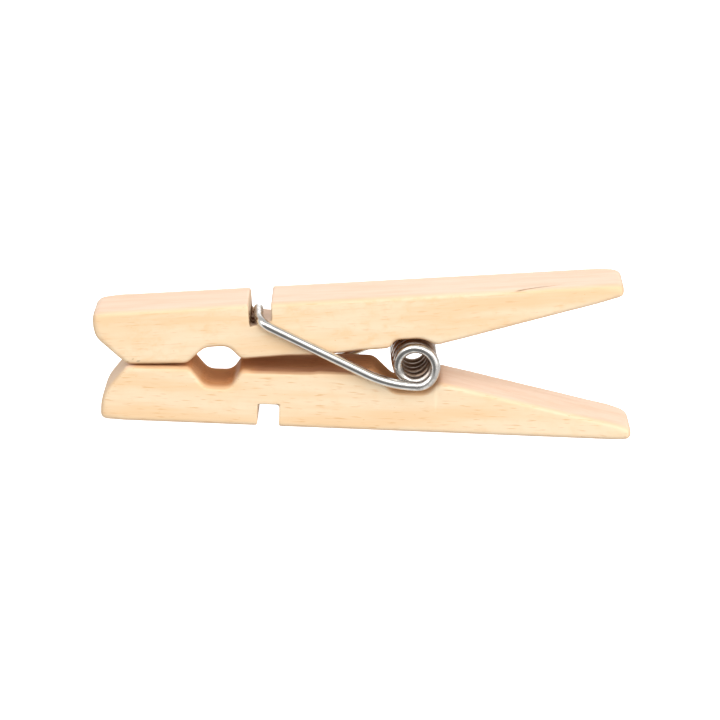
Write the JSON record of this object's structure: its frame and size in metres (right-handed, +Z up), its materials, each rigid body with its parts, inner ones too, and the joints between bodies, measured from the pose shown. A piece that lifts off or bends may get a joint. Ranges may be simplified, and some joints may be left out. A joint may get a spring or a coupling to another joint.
{
  "type": "wooden spring clothespin",
  "caption": "Wooden spring clothespin, closed: two tapered wooden halves with jaw, line notch and handle, held together by a torsion spring of bright wire.",
  "frame": {"origin": "middle of the underside of the whole closed peg's box, on the surface that the lower half's flat outer face rests on", "axes": "+Z up, +X along the peg from the jaws to the handles, +Y across its width, the coil's axis being parallel to Y"},
  "size_m": [0.0734, 0.0132, 0.0218],
  "materials": {
    "wood": "bare, lightly tumbled beech or birch",
    "spring_wire": "bright plated spring wire"
  },
  "bodies": {
    "lower": {"lower_half": "wood", "spring_lower_leg": "spring_wire"},
    "upper": {"upper_half": "wood", "spring_upper_leg": "spring_wire"},
    "coil": {"spring_coil": "spring_wire"}
  },
  "joints": [
    {"name": "jaw_hinge", "type": "hinge", "parent": "lower", "child": "upper", "pos_m": [0.00729, 0, 0.00925], "axis": [0, 1, 0], "range_deg": [0, 35], "stiffness_Nm_per_rad": 0.25, "springref_deg": -4.58},
    {"name": "coil_wind", "type": "hinge", "parent": "lower", "child": "coil", "pos_m": [0.00729, 0, 0.00925], "axis": [0, 1, 0], "range_deg": [0, 17.5]}
  ],
  "couplings": [
    {"joint": "coil_wind", "follows": "jaw_hinge", "ratio": 0.5}
  ]
}
